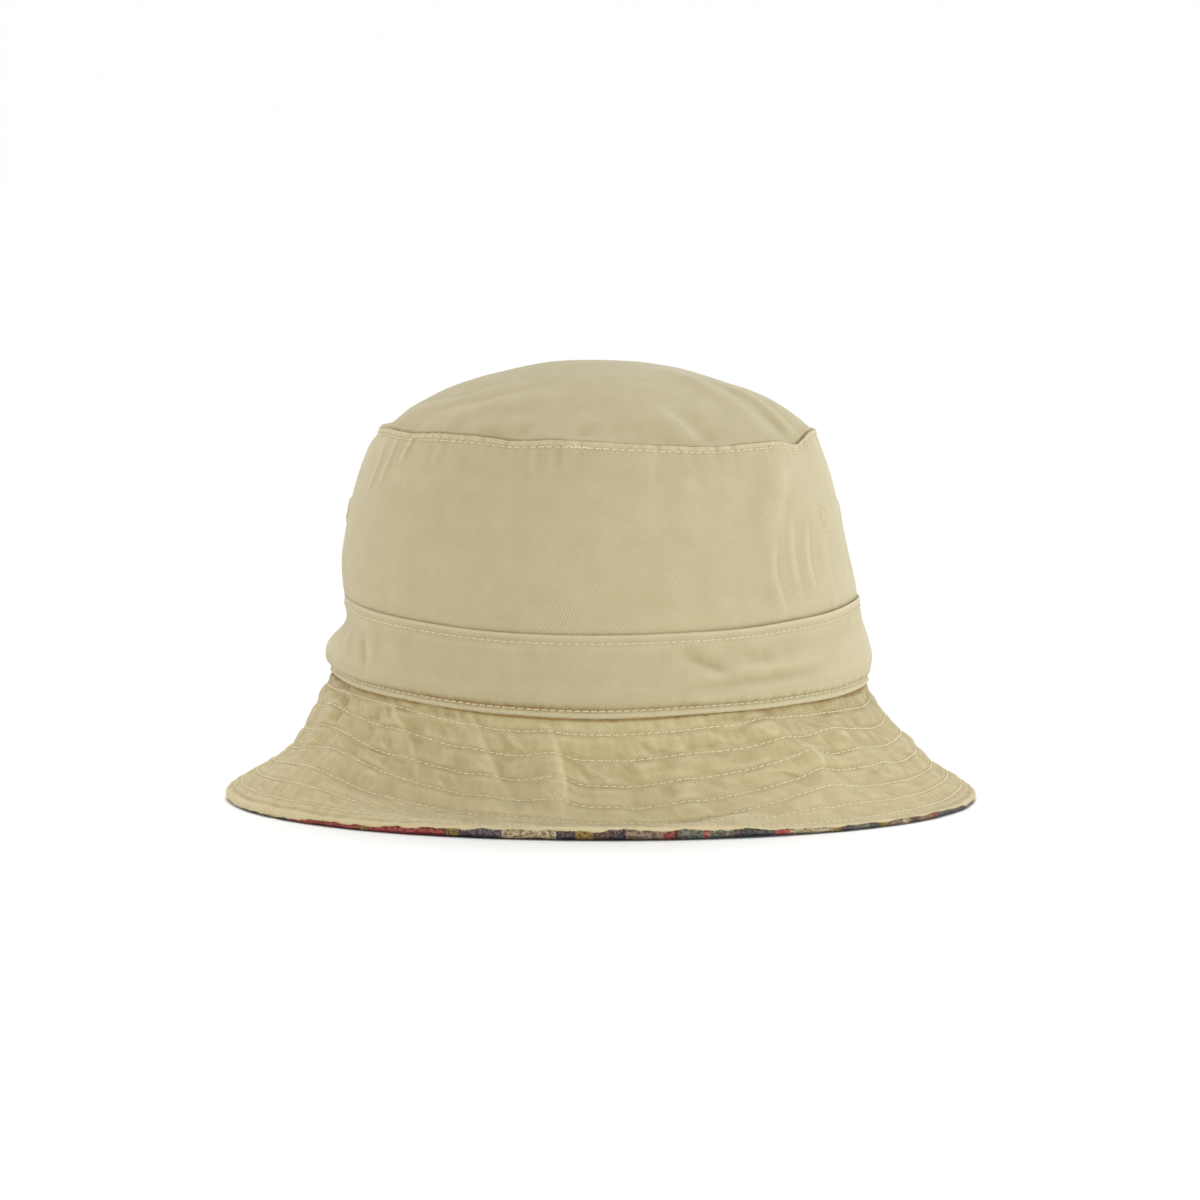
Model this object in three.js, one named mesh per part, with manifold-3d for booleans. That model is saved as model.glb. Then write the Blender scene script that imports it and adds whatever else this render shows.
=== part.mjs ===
// A lined cotton bucket hat, standing on its brim: the sewn panels, the band, the brim's layers,
// the worked eyelets and each row of thread, as separate solids.
//
// Millimetres, +Z up. The origin is on the surface that the hat stands on, under the middle of the
// crown. -Y is the front of the hat, and +X is its left side when it is worn.
//
// A head is longer than it is wide, so each layer of cloth is an oval shell. Its outline is given
// twice, as (radius, height) points at the side and at the front of the hat, and the shell runs
// smoothly from one to the other. Panels are cut from a shell at the side seams, on the X axis.

import * as THREE from "three";
import { mergeVertices } from "three/addons/utils/BufferGeometryUtils.js";
import Module from "manifold-3d";

const wasm = await Module();
wasm.setup();

// ---- Driving dimensions ----

const FACETS = 48; // round the hat, so that the middle of a facet falls where an eyelet is worked
const CLOTH = 0.6; // the twill, and the plaid cotton
const STIFFENER = 0.8; // the brim's interlining
const GAP = 0.3; // between neighbouring pieces
const BRIM_GAP = 0.45; // between the brim's layers, which draw together where the brim flares

const TIP_HALF_WIDTH = 78; // at the seam round the top of the crown
const TIP_HALF_LENGTH = 84.5;
const TIP_SEAM_HEIGHT = 130.5;
const DOME_RISE = 25.5; // the tip's middle above its seam
const DOME_FULLNESS = 2.4; // 2 is a parabola, and more is flatter on top
const HEAD_SEAM_HEIGHT = 42.5; // where the crown meets the brim
const BAND_TOP_HEIGHT = 70.5;

const LONGER = TIP_HALF_LENGTH - TIP_HALF_WIDTH;
const TIP_DROOP = 2.3; // how much lower a seam runs at the front and back than at the sides
const HEAD_DROOP = 5;

const BRIM_WIDTH = 57; // along the cloth, to where its edge lies level
const HEM_WIDTH = 3; // the level edge
const BRIM_ROWS = 7; // rows of stitching round the brim
const FIRST_ROW = 6; // from the brim's inner edge, along the cloth
const ROW_SPACING = 8;

const THREAD_WIDTH = 0.5;
const THREAD_HEIGHT = 0.35;
const TOPSTITCH_INSET = 2.2; // from a seam or a folded edge to the row that holds it down

const EYELET_ANGLE = 11.25; // each side of the side seam, in degrees
const EYELET_RADIUS = 4.5;
const EYELET_TUBE_RADIUS = 1.9;
const EYELET_HOLE_RADIUS = 1.1;
const EYELET_PAD = 0.35; // the thickness of the worked thread at the rim and at the hole
const EYELET_SWELL = 0.65; // and between them

// The two faces of each layer, as distances out from the face of the shell's cloth.
const SHELL = [0, -CLOTH];
const LINING = [SHELL[1] - GAP, SHELL[1] - GAP - CLOTH];
const INTERLINING = [SHELL[1] - BRIM_GAP, SHELL[1] - BRIM_GAP - STIFFENER];
const UNDERSIDE = [INTERLINING[1] - BRIM_GAP, INTERLINING[1] - BRIM_GAP - CLOTH];
const BRIM_THICKNESS = -UNDERSIDE[1];

// ---- Materials ----

const textile = (color, roughness) =>
  new THREE.MeshStandardMaterial({ color, roughness, metalness: 0 });

const KHAKI_TWILL = textile(0xc3b68e, 0.9);
const PLAID_COTTON = textile(0x6f625c, 0.9);
const INTERLINING_FELT = textile(0xe4e1d6, 0.95);
const KHAKI_THREAD = textile(0xd8cda4, 0.7);

// ---- Outlines ----

const points = (pairs) => pairs.map(([radius, height]) => new THREE.Vector2(radius, height));

// Where a crown outline's side point comes at the front of the hat.
function toFront(point) {
  const upward = (point.y - HEAD_SEAM_HEIGHT) / (TIP_SEAM_HEIGHT - HEAD_SEAM_HEIGHT);
  const droop = THREE.MathUtils.lerp(HEAD_DROOP, TIP_DROOP, upward);
  return new THREE.Vector2(point.x + LONGER, point.y - droop);
}

const crownOutline = (side) => ({ side, front: side.map(toFront) });

const WALL = crownOutline(
  points([
    [TIP_HALF_WIDTH + 0.2, TIP_SEAM_HEIGHT - 0.7],
    [83.2, 116.7],
    [85.7, 108.5],
    [88.2, 95.5],
    [91, 77],
    [91, 66],
    [92.5, 55],
    [93.6, HEAD_SEAM_HEIGHT],
  ]),
);

const BAND = crownOutline(
  points([
    [92.2, BAND_TOP_HEIGHT],
    [92.4, 64],
    [94.6, 56],
    [97, 49.5],
    [95.2, HEAD_SEAM_HEIGHT - 0.3],
  ]),
);

// The dome of the tip, from its middle to just inside its seam.
function domeOutline(halfWidth, droop) {
  return [0, 0.25, 0.5, 0.7, 0.87, 1].map((share) => {
    const fall = DOME_RISE * share ** DOME_FULLNESS;
    const height = TIP_SEAM_HEIGHT + DOME_RISE - fall - droop * share ** 2;
    return new THREE.Vector2(share * (halfWidth - 0.6), height + 0.4);
  });
}

const TIP = {
  side: domeOutline(TIP_HALF_WIDTH, 0),
  front: domeOutline(TIP_HALF_LENGTH, TIP_DROOP),
};

// The brim has a point at each row of stitching, so that a thread lies along a fold of the facets.
function brimOutline(pairs) {
  const slope = new THREE.SplineCurve(points(pairs));
  const rows = Array.from({ length: BRIM_ROWS }, (_, row) => FIRST_ROW + row * ROW_SPACING);
  const down = [0, ...rows, BRIM_WIDTH].map((distance) => slope.getPointAt(distance / BRIM_WIDTH));
  const hem = down.at(-1).clone();
  hem.x += HEM_WIDTH;
  return [...down, hem];
}

const BRIM = {
  side: brimOutline([
    [94, HEAD_SEAM_HEIGHT - 0.3],
    [99, 33.9],
    [105, 25.2],
    [113.5, 16.7],
    [124, 9],
    [130.2, BRIM_THICKNESS],
  ]),
  front: brimOutline([
    [100.5, HEAD_SEAM_HEIGHT - 0.3 - HEAD_DROOP],
    [102.2, 24],
    [106.5, 14.3],
    [112.3, 8.2],
    [120, 4.4],
    [129, 3.2],
    [138, BRIM_THICKNESS],
  ]),
};

// ---- Layers ----

// The direction out of the hat from a stretch of outline, which runs down or outwards.
function outward(from, to) {
  const along = to.clone().sub(from).normalize();
  return new THREE.Vector2(-along.y, along.x);
}

// An outline moved out by a distance, with its stretches kept parallel to where they were.
function offsetOutline(outline, distance) {
  const facing = outline.slice(1).map((point, i) => outward(outline[i], point));
  return outline.map((point, i) => {
    const before = facing[Math.max(i - 1, 0)];
    const after = facing[Math.min(i, facing.length - 1)];
    const mitre = distance / (1 + before.dot(after));
    return point.clone().addScaledVector(before.clone().add(after), mitre);
  });
}

// A layer's closed profile, which runs down its inner face and up its outer face.
function layerProfile(outline, [outer, inner]) {
  const outside = offsetOutline(outline, outer).reverse();
  const inside = offsetOutline(outline, inner);
  return [...inside, ...outside, inside[0].clone()];
}

// The profile of a layer that closes over the axis: both of its faces start there.
function domeProfile(outline, [outer, inner]) {
  const outside = offsetOutline(outline, outer).reverse();
  const inside = offsetOutline(outline, inner);
  inside[0].x = 0;
  outside.at(-1).x = 0;
  return [...inside, ...outside];
}

// The point of the oval between a side point and a front point, at an angle from the X axis.
function ovalPoint(side, front, angle) {
  const frontness = Math.sin(angle) ** 2;
  const height = THREE.MathUtils.lerp(side.y, front.y, frontness);
  return new THREE.Vector3(side.x * Math.cos(angle), front.x * Math.sin(angle), height);
}

// A shell turned from a side and a front profile that have the same number of points.
function ovalShell(side, front) {
  const shell = new THREE.LatheGeometry(side, FACETS);
  const position = shell.getAttribute("position");
  for (let i = 0; i < position.count; i++) {
    const row = i % side.length;
    const angle = (2 * Math.PI * Math.floor(i / side.length)) / FACETS;
    position.setXYZ(i, ...ovalPoint(side[row], front[row], angle));
  }
  return shell;
}

// ---- Joining and cutting ----

function toSolid(geometry) {
  const bare = geometry.clone();
  bare.deleteAttribute("normal");
  bare.deleteAttribute("uv");
  const merged = mergeVertices(bare, 1e-3);
  return new wasm.Manifold(
    new wasm.Mesh({
      numProp: 3,
      vertProperties: merged.getAttribute("position").array,
      triVerts: new Uint32Array(merged.index.array),
    }),
  );
}

function toGeometry(solid) {
  const mesh = solid.getMesh();
  return new THREE.BufferGeometry()
    .setAttribute("position", new THREE.BufferAttribute(mesh.vertProperties, 3))
    .setIndex(new THREE.BufferAttribute(mesh.triVerts, 1));
}

// One half of a shell, up to the gap at the side seams. The side is -1 for the front.
function halfOf(solid, side) {
  const size = 400;
  const block = new THREE.BoxGeometry(size, size, size);
  block.translate(0, (side * (size + GAP)) / 2, 0);
  return solid.intersect(toSolid(block));
}

// ---- Eyelets ----

// The middle of the wall's facet beside a side seam, and the direction that the facet faces.
function eyeletPlace(sideSign, faceSign) {
  const row = 2;
  const half = 180 / FACETS;
  const corner = (down, turn) => {
    const angle = THREE.MathUtils.degToRad(EYELET_ANGLE + turn);
    const point = ovalPoint(WALL.side[row + down], WALL.front[row + down], angle);
    return point.multiply(new THREE.Vector3(sideSign, faceSign, 1));
  };
  const nearTop = corner(0, -half);
  const farTop = corner(0, half);
  const nearBottom = corner(1, -half);
  const farBottom = corner(1, half);
  const centre = nearTop.clone().add(farTop).add(nearBottom).add(farBottom).divideScalar(4);
  const rising = nearTop.clone().sub(farBottom);
  const falling = farTop.clone().sub(nearBottom);
  const normal = rising.cross(falling).normalize();
  if (normal.x * sideSign < 0) normal.negate();
  return { centre, normal };
}

const EYELETS = ["left", "right"].flatMap((sideName) =>
  ["front", "back"].map((faceName) => ({
    name: `eyelet_${sideName}_${faceName}`,
    ...eyeletPlace(sideName === "left" ? 1 : -1, faceName === "back" ? 1 : -1),
  })),
);

// Stands an object whose own axis is +Y on the wall, at an eyelet.
function standAt(object, { centre, normal }) {
  object.position.copy(centre);
  object.quaternion.setFromUnitVectors(new THREE.Vector3(0, 1, 0), normal);
  object.updateMatrix();
  return object;
}

function withEyeletHoles(solid) {
  const radius = EYELET_TUBE_RADIUS + GAP;
  return EYELETS.reduce((cut, place) => {
    const drill = new THREE.CylinderGeometry(radius, radius, 12, 16);
    drill.applyMatrix4(standAt(new THREE.Object3D(), place).matrix);
    return cut.subtract(toSolid(drill));
  }, solid);
}

// Thread worked over the hole's edge: a ring outside, a tube through both cloths, a ring inside.
function eyeletGeometry() {
  const front = GAP + 0.1;
  const back = LINING[1] - GAP - 0.1;
  const middle = EYELET_TUBE_RADIUS + 1;
  const profile = points([
    [EYELET_HOLE_RADIUS, back - EYELET_PAD],
    [middle, back - EYELET_SWELL],
    [EYELET_RADIUS, back - EYELET_PAD],
    [EYELET_RADIUS, back],
    [EYELET_TUBE_RADIUS, back],
    [EYELET_TUBE_RADIUS, front],
    [EYELET_RADIUS, front],
    [EYELET_RADIUS, front + EYELET_PAD],
    [middle, front + EYELET_SWELL],
    [EYELET_HOLE_RADIUS, front + EYELET_PAD],
    [EYELET_HOLE_RADIUS, back - EYELET_PAD],
  ]);
  return new THREE.LatheGeometry(profile, 16);
}

// ---- Rows of thread ----

// The closed profile of a thread that lies just off a surface, at a point of its outline.
function threadProfile(point, out) {
  const along = new THREE.Vector2(out.y, -out.x);
  const half = THREAD_WIDTH / 2;
  const corner = (across, off) =>
    point.clone().addScaledVector(along, across).addScaledVector(out, off);
  return [
    corner(half, GAP),
    corner(half, GAP + THREAD_HEIGHT),
    corner(-half, GAP + THREAD_HEIGHT),
    corner(-half, GAP),
    corner(half, GAP),
  ];
}

// The row that holds down the edge that an outline starts from.
function topRowProfile([from, to]) {
  const share = TOPSTITCH_INSET / from.distanceTo(to);
  return threadProfile(from.clone().lerp(to, share), outward(from, to));
}

// The row that holds down the edge that an outline ends at.
function bottomRowProfile(outline) {
  const [before, last] = outline.slice(-2);
  const share = TOPSTITCH_INSET / last.distanceTo(before);
  return threadProfile(last.clone().lerp(before, share), outward(before, last));
}

const brimRowProfile = (outline, row) =>
  threadProfile(outline[row], outward(outline[row - 1], outline[row + 1]));

// ---- The hat ----

const hat = new THREE.Group();

function addPiece(name, geometry, material) {
  const mesh = new THREE.Mesh(geometry, material);
  mesh.name = name;
  hat.add(mesh);
  return mesh;
}

const clothShell = ({ side, front }, faces) =>
  ovalShell(layerProfile(side, faces), layerProfile(front, faces));

const domeShell = ({ side, front }, faces) =>
  ovalShell(domeProfile(side, faces), domeProfile(front, faces));

// A front and a back panel, cut from one shell.
function addPanels(name, solid, material) {
  addPiece(`${name}_front`, toGeometry(halfOf(solid, -1)), material);
  addPiece(`${name}_back`, toGeometry(halfOf(solid, 1)), material);
}

function addCrown() {
  const shell = toSolid(clothShell(WALL, SHELL));
  const lining = toSolid(clothShell(WALL, LINING));
  addPiece("crown_tip", domeShell(TIP, SHELL), KHAKI_TWILL);
  addPiece("lining_tip", domeShell(TIP, LINING), PLAID_COTTON);
  addPanels("crown_side", withEyeletHoles(shell), KHAKI_TWILL);
  addPanels("lining_side", withEyeletHoles(lining), PLAID_COTTON);
  for (const place of EYELETS) {
    standAt(addPiece(place.name, eyeletGeometry(), KHAKI_THREAD), place);
  }
}

// The band is one strip, and its ends meet at the back of the hat.
function addBand() {
  const join = new THREE.BoxGeometry(GAP, 20, 80);
  join.translate(0, BAND.front[0].x, BAND_TOP_HEIGHT - 20);
  const strip = toSolid(clothShell(BAND, SHELL)).subtract(toSolid(join));
  addPiece("hat_band", toGeometry(strip), KHAKI_TWILL);
}

function addBrim() {
  const insideHem = { side: BRIM.side.slice(0, -1), front: BRIM.front.slice(0, -1) };
  addPanels("brim_top", toSolid(clothShell(BRIM, SHELL)), KHAKI_TWILL);
  addPiece("brim_interlining", clothShell(insideHem, INTERLINING), INTERLINING_FELT);
  addPanels("brim_underside", toSolid(clothShell(BRIM, UNDERSIDE)), PLAID_COTTON);
}

function addThreadRow(name, rowProfile, { side, front }) {
  addPiece(name, ovalShell(rowProfile(side), rowProfile(front)), KHAKI_THREAD);
}

function addThread() {
  addThreadRow("tip_seam_stitching", topRowProfile, WALL);
  addThreadRow("band_top_stitching", topRowProfile, BAND);
  addThreadRow("band_bottom_stitching", bottomRowProfile, BAND);
  for (let row = 1; row <= BRIM_ROWS; row++) {
    addThreadRow(`brim_stitching_row_${row}`, (outline) => brimRowProfile(outline, row), BRIM);
  }
}

addCrown();
addBand();
addBrim();
addThread();

export default hat;
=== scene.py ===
"""The looks of a khaki twill bucket hat with a patchwork plaid underside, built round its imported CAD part.

Each cloth surface is a function of an angle round the hat and a distance down it. It gives the smooth oval
shape, and then adds what sewing and wear do to the cloth: folds, puckers, quilted rows and rolled edges.
Lengths are in millimetres until a mesh is made.
"""

import math

import bmesh
import bpy
import numpy as np
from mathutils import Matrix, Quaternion, Vector


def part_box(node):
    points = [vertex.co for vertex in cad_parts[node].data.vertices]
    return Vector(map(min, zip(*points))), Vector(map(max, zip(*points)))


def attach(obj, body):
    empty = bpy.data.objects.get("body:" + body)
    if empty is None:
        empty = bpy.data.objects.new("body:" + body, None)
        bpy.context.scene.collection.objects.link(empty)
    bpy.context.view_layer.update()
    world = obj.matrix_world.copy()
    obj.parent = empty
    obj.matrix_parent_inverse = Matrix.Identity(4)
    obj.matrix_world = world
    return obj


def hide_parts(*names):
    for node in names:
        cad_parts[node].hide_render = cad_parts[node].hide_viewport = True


MM = 0.001
TURN = 2 * math.pi

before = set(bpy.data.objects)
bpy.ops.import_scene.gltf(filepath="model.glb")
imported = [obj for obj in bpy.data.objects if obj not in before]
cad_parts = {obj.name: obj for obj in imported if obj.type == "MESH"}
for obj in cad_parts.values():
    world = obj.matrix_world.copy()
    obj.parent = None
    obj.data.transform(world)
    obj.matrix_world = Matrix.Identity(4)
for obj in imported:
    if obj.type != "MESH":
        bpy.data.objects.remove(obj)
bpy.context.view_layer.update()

# ---- Camera and light ----

VIEW_AZIMUTH = math.radians(9.75)
VIEW_ELEVATION = math.radians(4.8)
VIEW_ROLL = math.radians(0.3)
VIEW_DISTANCE = 3.0
VIEW_HEIGHT = 0.0702
VIEW_WIDTH = 0.4255
FACING = VIEW_AZIMUTH - math.pi / 2  # the angle from +X of the part of the hat that faces the camera


def make_camera():
    data = bpy.data.cameras.new("camera")
    data.sensor_width = 36
    data.lens = data.sensor_width * VIEW_DISTANCE / VIEW_WIDTH
    data.clip_end = 100
    camera = bpy.data.objects.new("camera", data)
    back = Vector((math.sin(VIEW_AZIMUTH) * math.cos(VIEW_ELEVATION),
                   -math.cos(VIEW_AZIMUTH) * math.cos(VIEW_ELEVATION),
                   math.sin(VIEW_ELEVATION)))
    camera.location = Vector((0, 0, VIEW_HEIGHT)) + back * VIEW_DISTANCE
    camera.rotation_euler = (back.to_track_quat("Z", "Y") @ Quaternion((0, 0, 1), VIEW_ROLL)).to_euler()
    bpy.context.scene.collection.objects.link(camera)
    bpy.context.scene.camera = camera


def add_light(name, kind, toward, place=(0, 0, 0), **settings):
    """A light at a place, whose light comes from the direction given, with any settings of its kind."""
    data = bpy.data.lights.new(name, kind)
    for key, value in settings.items():
        setattr(data, key, value)
    light = bpy.data.objects.new(name, data)
    light.location = place
    light.rotation_euler = Vector(toward).to_track_quat("Z", "Y").to_euler()
    bpy.context.scene.collection.objects.link(light)


def softbox(name, place, size, watts, color=(1, 1, 1)):
    """A rectangular light that shines on the middle of the hat."""
    toward = Vector(place) - Vector((0, 0, VIEW_HEIGHT))
    add_light(name, "AREA", toward, place, shape="RECTANGLE", size=size[0], size_y=size[1], energy=watts,
              color=color)


def make_world(horizon, zenith):
    """A bright surrounding wall that darkens towards the ceiling."""
    world = bpy.data.worlds.new("studio")
    world.use_nodes = True
    nodes, links = world.node_tree.nodes, world.node_tree.links
    direction = nodes.new("ShaderNodeTexCoord").outputs["Generated"]
    parts = nodes.new("ShaderNodeSeparateXYZ")
    height = nodes.new("ShaderNodeMapRange")
    for socket, value in (("From Min", 0.1), ("From Max", 0.7), ("To Min", horizon), ("To Max", zenith)):
        height.inputs[socket].default_value = value
    links.new(direction, parts.inputs["Vector"])
    links.new(parts.outputs["Z"], height.inputs["Value"])
    background = nodes["Background"]
    background.inputs["Color"].default_value = (1, 1, 1, 1)
    links.new(height.outputs["Result"], background.inputs["Strength"])
    bpy.context.scene.world = world


def make_studio():
    make_world(horizon=1.07, zenith=0.27)
    add_light("overhead", "SUN", (-0.06, 0.54, 1), energy=1.68, angle=math.radians(36))
    add_light("front", "SUN", (0.05, -0.62, 1), energy=0.5, angle=math.radians(40))
    softbox("left_softbox", (-1.7, -1.4, 1.0), (0.8, 0.8), 8.5)
    softbox("right_softbox", (2.1, -0.45, 0.18), (1.0, 0.3), 18, (0.88, 0.95, 1.0))
    radius, sides = 30, 96
    mesh = bpy.data.meshes.new("studio_floor")
    turns = [TURN * i / sides for i in range(sides)]
    rim = [(radius * math.cos(turn), radius * math.sin(turn), 0) for turn in turns]
    mesh.from_pydata(rim, [], [list(range(sides))])
    floor = bpy.data.objects.new("studio_floor", mesh)
    bpy.context.scene.collection.objects.link(floor)
    material = bpy.data.materials.new("studio_white")
    material.use_nodes = True
    shader = material.node_tree.nodes["Principled BSDF"]
    shader.inputs["Base Color"].default_value = (0.97, 0.97, 0.97, 1)
    shader.inputs["Roughness"].default_value = 0.8
    shader.inputs["Specular IOR Level"].default_value = 0.1
    mesh.materials.append(material)


# ---- Noise and curves ----


def gradient_noise(u, v, seed, period):
    """Smooth noise from about -1 to 1 on a unit lattice, which repeats in u after a whole number of cells."""
    u, v = np.broadcast_arrays(u, v)
    iu, iv = np.floor(u).astype(np.int64), np.floor(v).astype(np.int64)
    fu, fv = u - iu, v - iv

    def corner(di, dj):
        n = ((iu + di) % period) * 374761393 + (iv + dj) * 668265263 + seed * 1274126177
        n &= 0xFFFFFFFF
        n = ((n ^ (n >> 13)) * 1103515245) & 0xFFFFFFFF
        angle = ((n ^ (n >> 16)) & 0xFFFFFF) * (TURN / 0x1000000)
        return np.cos(angle) * (fu - di) + np.sin(angle) * (fv - dj)

    su = fu**3 * (fu * (6 * fu - 15) + 10)
    sv = fv**3 * (fv * (6 * fv - 15) + 10)
    top = corner(0, 0) * (1 - su) + corner(1, 0) * su
    low = corner(0, 1) * (1 - su) + corner(1, 1) * su
    return 1.6 * (top * (1 - sv) + low * sv)


def round_noise(angle, down, cells, seed, slant=0.0):
    """Noise round the hat in a whole number of cells. Down is in cells too, and slant leans them over."""
    return gradient_noise(angle * cells / TURN - slant * down, down, seed, cells)


def bell(distance, width):
    return np.exp(-((distance / width) ** 2))


def smoothstep(low, high, x):
    t = np.clip((x - low) / (high - low), 0, 1)
    return t * t * (3 - 2 * t)


def to_view_angle(angle):
    """Degrees round the hat from where it faces the camera, rightwards positive, from -180 to 180."""
    return np.degrees((angle - FACING + math.pi) % TURN - math.pi)


def blur_kernel(blur, step=1.0):
    """The weights of a smooth blur over samples a step apart, and how many lie to each side."""
    reach = max(1, int(3 * blur / step))
    kernel = bell(np.arange(-reach, reach + 1) * step, blur)
    return kernel / kernel.sum(), reach


class Around:
    """A smooth closed curve of one value through points keyed by degrees round the hat from the view."""

    def __init__(self, points, blur=5.0):
        keys, values = np.array(points, float).T
        self.x = np.arange(-180.0, 181.0)
        curve = np.interp(self.x[:-1], keys, values, period=360)
        kernel, reach = blur_kernel(blur)
        wrapped = np.concatenate([curve[-reach:], curve, curve[:reach]])
        self.curve = np.convolve(wrapped, kernel, mode="valid")
        self.curve = np.append(self.curve, self.curve[0])

    def __call__(self, view):
        return np.interp(view, self.x, self.curve)


class Outline:
    """A smooth (radius, height) curve through points that are keyed by the distance down the cloth."""

    def __init__(self, keyed, blur):
        keys, radii, heights = np.array(keyed, float).T
        self.x = np.linspace(keys[0], keys[-1], 600)
        kernel, reach = blur_kernel(blur, self.x[1] - self.x[0])
        self.curves = []
        for values in (radii, heights):
            values = np.interp(self.x, keys, values)
            start = 2 * values[0] - values[reach:0:-1]
            end = 2 * values[-1] - values[-2 : -reach - 2 : -1]
            self.curves.append(np.convolve(np.concatenate([start, values, end]), kernel, mode="valid"))

    def __call__(self, key):
        return [np.interp(key, self.x, curve) for curve in self.curves]


TWIST = math.radians(14)  # the hat's seams are lowest this far round from its front


class Oval:
    """A surface that runs from a side outline to a front outline round the hat."""

    def __init__(self, side, front, blur, power=1):
        self.side, self.front, self.power = Outline(side, blur), Outline(front, blur), power

    def __call__(self, angle, down):
        angle, down = np.broadcast_arrays(angle, down)
        side_radius, side_height = self.side(down)
        front_radius, front_height = self.front(down)
        frontness = np.sin(angle - TWIST) ** (2 * self.power)
        height = side_height + (front_height - side_height) * frontness
        return np.stack([side_radius * np.cos(angle), front_radius * np.sin(angle), height], axis=-1)


def unit(vectors):
    return vectors / np.maximum(np.linalg.norm(vectors, axis=-1, keepdims=True), 1e-9)


def outward(surface, angle, down, reach=0.02):
    """The direction out of the cloth, which is to the outside of the hat."""
    along = surface(angle + 0.002, down) - surface(angle - 0.002, down)
    downward = surface(angle, down + reach) - surface(angle, down - reach)
    return unit(np.cross(downward, along))


def smooth_path(points, steps=6):
    """Points on a smooth curve through the given ones."""
    points = np.array(points, float)
    ends = np.concatenate([[2 * points[0] - points[1]], points, [2 * points[-1] - points[-2]]])
    made = []
    for before, a, b, after in zip(ends[:-3], ends[1:-2], ends[2:-1], ends[3:]):
        for t in np.arange(steps) / steps:
            made.append(0.5 * (2 * a + (b - before) * t + (2 * before - 5 * a + 4 * b - after) * t**2
                               + (3 * a - before - 3 * b + after) * t**3))
    return np.array(made + [points[-1]])


def fold(across, down, path, left, right):
    """How strongly each point is on a fold: 1 on its path and 0 away from it and at its ends.

    All are in mm. A fold has a width to the left of its path and one to the right."""
    points = smooth_path(path)
    lengths = np.linalg.norm(np.diff(points, axis=0), axis=1)
    total, run = lengths.sum(), 0.0
    across, down = np.broadcast_arrays(across, down)
    best = np.full(across.shape, np.inf)
    side, along = np.zeros(across.shape), np.zeros(across.shape)
    for a, b, length in zip(points[:-1], points[1:], lengths):
        dx, dy = (b - a) / length
        px, py = across - a[0], down - a[1]
        share = np.clip((px * dx + py * dy) / length, 0, 1)
        gap = np.hypot(px - share * (b - a)[0], py - share * (b - a)[1])
        nearer = gap < best
        best = np.where(nearer, gap, best)
        side = np.where(nearer, px * dy - py * dx, side)
        along = np.where(nearer, (run + share * length) / total, along)
        run += length
    widths = left + (right - left) * smoothstep(-0.4 * left, 0.4 * left, side)
    return bell(best, widths) * smoothstep(0, 0.4, along) * smoothstep(1, 0.6, along)


def folds_height(across, down, folds):
    """The height of a list of folds, each a path, its height, and its width to the left and right, in mm."""
    return sum(tall * fold(across, down, path, left, right) for path, tall, left, right in folds)


# ---- Crown ----

CROWN_LENGTH = 91.0  # from the tip seam to the head seam, along the side
CROWN_TOP_ROW = 1.9  # the row of stitching below the tip seam
CROWN_DEGREE = 1.55  # the length of one degree round the crown

wall_shape = Oval(
    side=[(0, 77.2, 130.3), (5.5, 79.6, 125.3), (14.5, 82.8, 116.9), (28, 86.3, 103.9), (45, 89.4, 87),
          (56, 91.2, 76), (62, 91.2, 70), (70, 90.6, 62), (80, 92.6, 52.5), (CROWN_LENGTH, 93.4, 43)],
    front=[(0, 83.4, 131.2), (5.5, 86.0, 126.0), (14.5, 90.0, 116.9), (28, 93.4, 103.0), (45, 96.2, 84.6),
           (56, 97.3, 72.5), (62, 97.5, 66), (70, 97.2, 58), (80, 98.3, 48), (CROWN_LENGTH, 99.4, 38)],
    blur=2.5,
)

# how far the tip seam sags below its smooth line, in mm: most of all in front of its right corner
seam_sag = Around([
    (-130, 0), (-100, -0.4), (-85, -1.1), (-70, -2.4), (-56, -1.4), (-44, -2.1), (-31, -1.6), (-20, -0.2),
    (-10, -1.0), (0, -0.3), (8, 0.5), (26, 1.6), (32, 2.1), (44, 1.3), (54, 0.9), (60, 1.5), (66, 3.3),
    (72, 0.8), (78, -1.2), (85, -0.6), (100, -0.3), (130, 0.3)
],
                  blur=2.6)

CROWN_LEAN = 1.9  # how far the crown leans to the left


def leaned(points):
    """Moves the points of the crown above its band a little to the left of the view."""
    share = smoothstep(60, 92, points[..., 2])
    points[..., 0] -= CROWN_LEAN * math.cos(VIEW_AZIMUTH) * share
    points[..., 1] -= CROWN_LEAN * math.sin(VIEW_AZIMUTH) * share
    return points


def wall_low(angle, down):
    """The folds of the crown's side that its lining shares."""
    view = to_view_angle(angle)
    shape = 0.45 * round_noise(angle, down / 45, 9, 1) + 0.3 * round_noise(angle, down / 30, 21, 2)
    gathers = 0.5 * round_noise(angle, down / 60, 44, 3) * np.exp(-down / 9)
    shape = shape + gathers * (0.45 + smoothstep(100, 130, np.abs(view)))
    shape = shape + folds_height(view * CROWN_DEGREE, down, WALL_FOLDS)
    corner = 1.5 * bell(view + 92, 26) * bell(down, 4.0)
    return shape - corner - band_pinch(view) * smoothstep(44, 62, down)


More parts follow.
